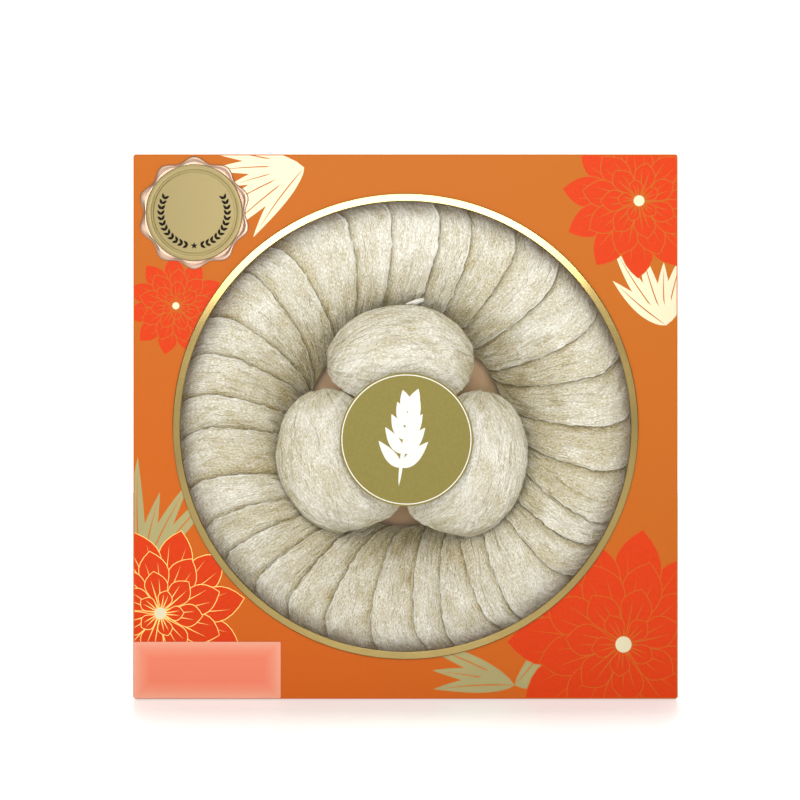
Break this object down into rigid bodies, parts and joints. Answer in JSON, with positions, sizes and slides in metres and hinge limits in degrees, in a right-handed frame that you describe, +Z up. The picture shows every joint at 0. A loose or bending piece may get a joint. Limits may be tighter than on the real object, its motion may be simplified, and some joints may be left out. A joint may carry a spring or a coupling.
{
  "type": "edible bird's nest box",
  "caption": "Square upright gift box with a round gilt-rimmed window, and whole dried bird's nests fanned in a ring round a trefoil of nests inside it.",
  "frame": {"origin": "middle of the box's underside, on the surface that it stands on", "axes": "+Z up, the window faces -Y, +X to the right of someone facing the window"},
  "size_m": [0.28, 0.057, 0.28],
  "materials": {
    "printed_board": "satin print",
    "base_board": "matt wrap",
    "gilt": "gilt foil",
    "film": "clear sheet",
    "tray": "moulded sheet",
    "nest": "dried strands",
    "label": "gold paper",
    "seal": "embossed foil",
    "strip": "satin paper"
  },
  "bodies": {
    "root": {"lid": "printed_board", "box_base": "base_board", "window_rim": "gilt", "window_film": "film", "tray": "tray", "centre_label": "label", "corner_seal": "seal", "corner_strip": "strip", "nest_centre_top": "nest", "nest_centre_left": "nest", "nest_centre_right": "nest", "nest_ring_01": "nest", "nest_ring_02": "nest", "nest_ring_03": "nest", "nest_ring_04": "nest", "nest_ring_05": "nest", "nest_ring_06": "nest", "nest_ring_07": "nest", "nest_ring_08": "nest", "nest_ring_09": "nest", "nest_ring_10": "nest", "nest_ring_11": "nest", "nest_ring_12": "nest", "nest_ring_13": "nest", "nest_ring_14": "nest", "nest_ring_15": "nest", "nest_ring_16": "nest", "nest_ring_17": "nest", "nest_ring_18": "nest", "nest_ring_19": "nest", "nest_ring_20": "nest", "nest_ring_21": "nest", "nest_ring_22": "nest", "nest_ring_23": "nest", "nest_ring_24": "nest", "nest_ring_25": "nest", "nest_ring_26": "nest", "nest_ring_27": "nest", "nest_ring_28": "nest", "nest_ring_29": "nest", "nest_ring_30": "nest"}
  },
  "joints": []
}
